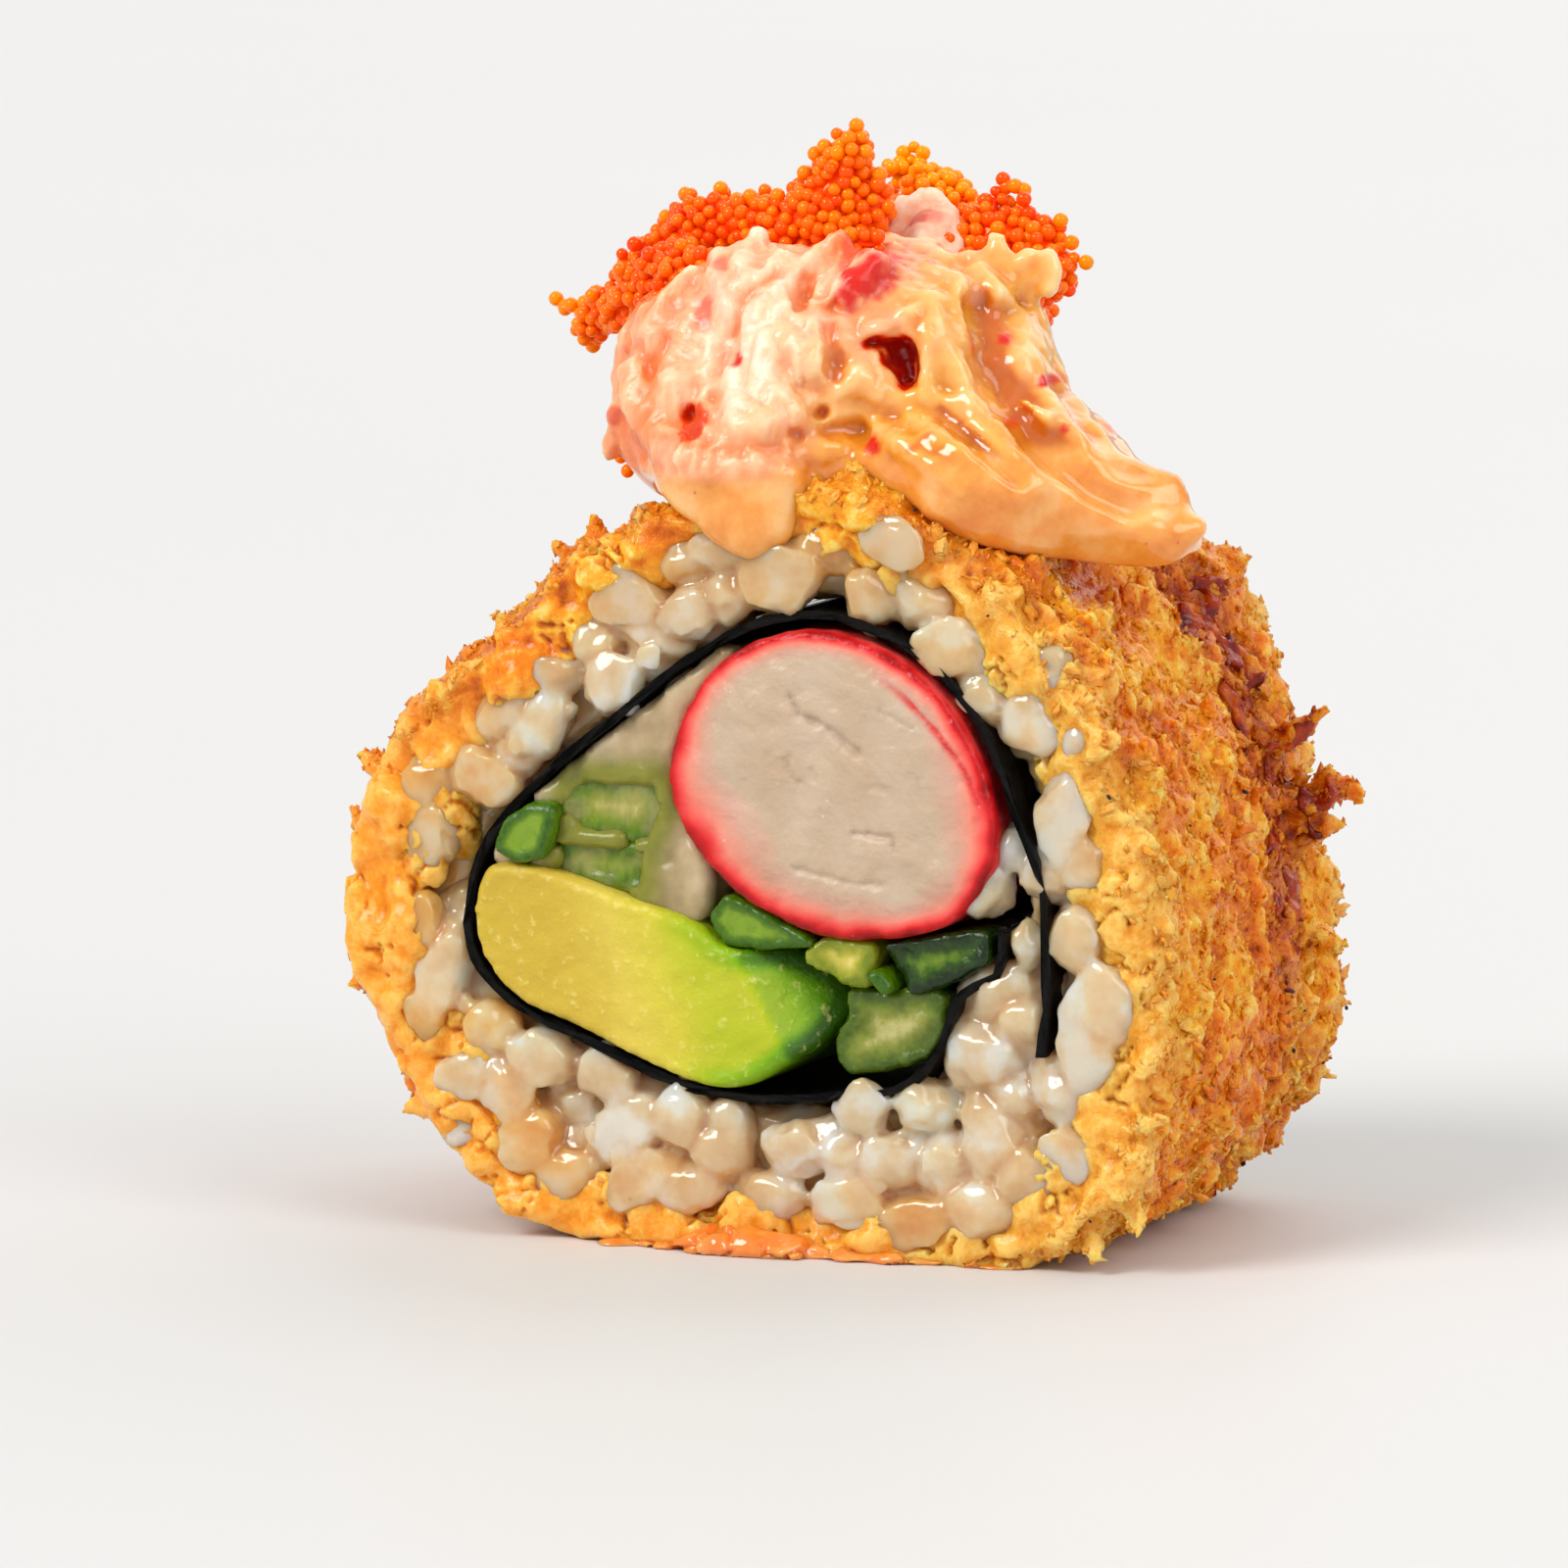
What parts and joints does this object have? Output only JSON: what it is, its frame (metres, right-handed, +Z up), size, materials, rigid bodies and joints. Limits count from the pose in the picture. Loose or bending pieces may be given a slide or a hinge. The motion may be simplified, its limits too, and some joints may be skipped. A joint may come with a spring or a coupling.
{
  "type": "fried sushi roll",
  "caption": "Slice of deep-fried sushi roll in a breadcrumb crust, with crab stick, avocado and cucumber, under a mound of crab salad and orange roe.",
  "frame": {"origin": "on the table, under the middle of the whole piece", "axes": "+Z up, with the piece lying on its crust; +X across the cut face; the front cut face looks towards -Y and the back one towards +Y"},
  "size_m": [0.046, 0.0298, 0.0574],
  "materials": {
    "crust": "crumbly, slightly oily",
    "rice": "moist",
    "nori": "satin",
    "crab_stick": "satin",
    "avocado": "satin",
    "soft_cheese": "satin",
    "cucumber": "moist",
    "scallion": "moist",
    "crab_salad": "creamy, moist",
    "roe": "glossy, translucent"
  },
  "bodies": {
    "root": {"crust": "crust", "rice": "rice", "nori": "nori", "crab_stick": "crab_stick", "avocado": "avocado", "cucumber_upper": "cucumber", "cucumber_lower": "cucumber", "cucumber_rind": "cucumber", "cucumber_flesh": "cucumber", "cucumber_core": "cucumber", "scallion_left": "scallion", "scallion_middle": "scallion", "scallion_sliver": "scallion", "soft_cheese": "soft_cheese", "crab_salad": "crab_salad", "roe": "roe"}
  },
  "joints": []
}
